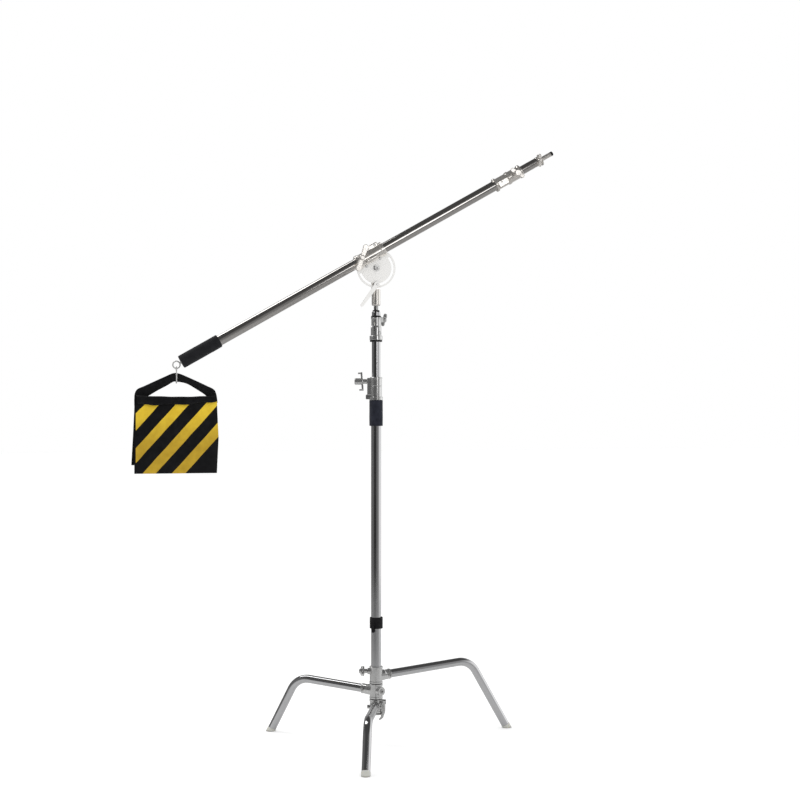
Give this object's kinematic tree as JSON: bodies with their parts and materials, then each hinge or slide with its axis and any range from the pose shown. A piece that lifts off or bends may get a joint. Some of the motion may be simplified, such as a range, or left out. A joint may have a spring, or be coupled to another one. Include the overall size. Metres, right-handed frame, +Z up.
{
  "type": "c stand",
  "caption": "Chromed studio boom stand: folding turtle base, telescoping column, slotted tilt head, extending boom and a hanging striped sandbag.",
  "frame": {"origin": "on the floor, on the axis of the column", "axes": "+Z up along the column; the boom lies in the XZ plane and rises towards +X; -Y is the side that the tilt disc and the handles face"},
  "size_m": [1.4978, 0.7569, 2.096],
  "materials": {
    "chrome_tube": "polished chromed tube",
    "cast_chrome": "chromed casting, slightly soft reflections",
    "steel_fastener": "zinc-plated screws",
    "satin_alloy": "light satin plated casting",
    "black_plastic": "black moulded plastic",
    "foam_grip": "closed-cell foam sleeve",
    "black_rubber": "black rubber cap",
    "foot_plastic": "pale translucent moulding",
    "glide_plastic": "white nylon bush",
    "bag_fabric": "black coated nylon with yellow diagonal bands",
    "bag_webbing": "black woven webbing"
  },
  "bodies": {
    "base": {"base_sleeve": "steel_fastener", "hub_washers": "black_plastic", "high_hub": "cast_chrome", "high_leg_bolt": "steel_fastener", "high_leg_tube": "chrome_tube", "high_leg_foot": "foot_plastic"},
    "mid_leg": {"mid_hub": "cast_chrome", "mid_hub_bolts": "steel_fastener", "mid_leg_tube": "chrome_tube", "mid_leg_foot": "foot_plastic"},
    "low_leg": {"low_hub": "cast_chrome", "low_hub_bolts": "steel_fastener", "low_leg_tube": "chrome_tube", "low_leg_foot": "foot_plastic"},
    "release_lever": {"release_lever": "steel_fastener"},
    "base_handle": {"base_t_handle": "cast_chrome"},
    "column": {"lower_tube": "chrome_tube", "main_collar": "cast_chrome", "main_collar_bush": "glide_plastic", "main_lug_bolt": "steel_fastener", "column_foam_grip": "foam_grip", "cable_strap": "bag_webbing"},
    "column_handle": {"column_t_handle": "cast_chrome"},
    "riser_1": {"riser_1_tube": "chrome_tube", "riser_1_glide": "glide_plastic", "riser_collar": "cast_chrome", "riser_collar_bush": "glide_plastic", "riser_collar_rings": "black_plastic"},
    "riser_handle": {"riser_t_handle": "cast_chrome"},
    "riser_2": {"riser_2_tube": "chrome_tube", "riser_2_glide": "glide_plastic", "riser_2_cap_ring": "black_plastic", "top_spigot": "steel_fastener"},
    "head": {"head_bracket": "satin_alloy", "pivot_bolt": "steel_fastener", "slot_lock_bolt": "steel_fastener"},
    "head_screw": {"socket_screw": "steel_fastener"},
    "slot_lever": {"slot_lever": "satin_alloy"},
    "tilt": {"pivot_disc": "satin_alloy", "clamp_body": "satin_alloy", "clamp_screws": "steel_fastener"},
    "clamp_handle": {"clamp_t_handle": "satin_alloy"},
    "boom": {"boom_tube": "chrome_tube", "boom_foam_grip": "foam_grip", "boom_end_plug": "black_plastic", "eye_bolt": "steel_fastener", "boom_collar": "satin_alloy", "boom_collar_screw": "steel_fastener", "boom_collar_bush": "glide_plastic"},
    "boom_handle": {"boom_t_handle": "satin_alloy"},
    "inner_boom": {"inner_boom_tube": "chrome_tube", "inner_boom_glide": "glide_plastic", "end_fitting": "satin_alloy", "pin_tip_cap": "black_rubber"},
    "tip_screw": {"tip_wing_screw": "satin_alloy"},
    "hook": {"s_hook": "steel_fastener"},
    "sandbag": {"sandbag_front_pouch": "bag_fabric", "sandbag_rear_pouch": "bag_fabric", "sandbag_saddle": "bag_webbing", "sandbag_strap": "bag_webbing"}
  },
  "joints": [
    {"name": "mid_leg_swing", "type": "hinge", "parent": "base", "child": "mid_leg", "pos_m": [0, 0, 0.183], "axis": [0, 0, 1], "range_deg": [-120, 0]},
    {"name": "low_leg_swing", "type": "hinge", "parent": "base", "child": "low_leg", "pos_m": [0, 0, 0.131], "axis": [0, 0, 1], "range_deg": [0, 114]},
    {"name": "release_lever_pull", "type": "hinge", "parent": "low_leg", "child": "release_lever", "pos_m": [0.02285, -0.01785, 0.144], "axis": [-0.6157, -0.788, 0], "range_deg": [0, 25]},
    {"name": "base_handle_turn", "type": "hinge", "parent": "base", "child": "base_handle", "pos_m": [-0.02934, 0.00624, 0.251], "axis": [-0.9781, 0.2079, 0], "continuous": true},
    {"name": "column_lift", "type": "slide", "parent": "base", "child": "column", "axis": [0, 0, 1], "range_m": [0, 0.16]},
    {"name": "column_handle_turn", "type": "hinge", "parent": "column", "child": "column_handle", "pos_m": [-0.03032, 0.00645, 1.267], "axis": [-0.9781, 0.2079, 0], "continuous": true},
    {"name": "riser_1_slide", "type": "slide", "parent": "column", "child": "riser_1", "axis": [0, 0, 1], "range_m": [-0.12, 0.75]},
    {"name": "riser_handle_turn", "type": "hinge", "parent": "riser_1", "child": "riser_handle", "pos_m": [0.02447, 0.01141, 1.484], "axis": [0.9063, 0.4226, 0], "continuous": true},
    {"name": "riser_2_slide", "type": "slide", "parent": "riser_1", "child": "riser_2", "axis": [0, 0, 1], "range_m": [0, 0.85]},
    {"name": "head_yaw", "type": "hinge", "parent": "riser_2", "child": "head", "pos_m": [0, 0, 1.555], "axis": [0, 0, 1], "continuous": true},
    {"name": "head_screw_turn", "type": "hinge", "parent": "head", "child": "head_screw", "pos_m": [0, 0.0225, 1.556], "axis": [0, 1, 0], "continuous": true},
    {"name": "slot_lever_turn", "type": "hinge", "parent": "head", "child": "slot_lever", "pos_m": [0, -0.0084, 1.6065], "axis": [0, 1, 0], "range_deg": [-100, 35]},
    {"name": "boom_tilt", "type": "hinge", "parent": "head", "child": "tilt", "pos_m": [0, 0, 1.665], "axis": [0, 1, 0], "range_deg": [-35, 35]},
    {"name": "clamp_handle_turn", "type": "hinge", "parent": "tilt", "child": "clamp_handle", "pos_m": [-0.05795, -0.032, 1.69577], "axis": [0, -1, 0], "continuous": true},
    {"name": "boom_slide", "type": "slide", "parent": "tilt", "child": "boom", "axis": [0.8678, 0, 0.497], "range_m": [-0.4, 0.25]},
    {"name": "boom_handle_turn", "type": "hinge", "parent": "boom", "child": "boom_handle", "pos_m": [0.50573, -0.029, 2.00937], "axis": [0, -1, 0], "continuous": true},
    {"name": "inner_boom_slide", "type": "slide", "parent": "boom", "child": "inner_boom", "axis": [0.8678, 0, 0.497], "range_m": [-0.05, 0.62]},
    {"name": "tip_screw_turn", "type": "hinge", "parent": "inner_boom", "child": "tip_screw", "pos_m": [0.59207, -0.0171, 2.05882], "axis": [0, -1, 0], "continuous": true},
    {"name": "hook_plumb", "type": "hinge", "parent": "boom", "child": "hook", "pos_m": [-0.69439, 0, 1.32206], "axis": [0, 1, 0], "range_deg": [-35, 35]},
    {"name": "bag_swing", "type": "hinge", "parent": "hook", "child": "sandbag", "pos_m": [-0.69439, 0, 1.2602], "axis": [0, 1, 0], "range_deg": [-12, 12]}
  ],
  "couplings": [
    {"joint": "hook_plumb", "follows": "boom_tilt", "ratio": -1}
  ]
}
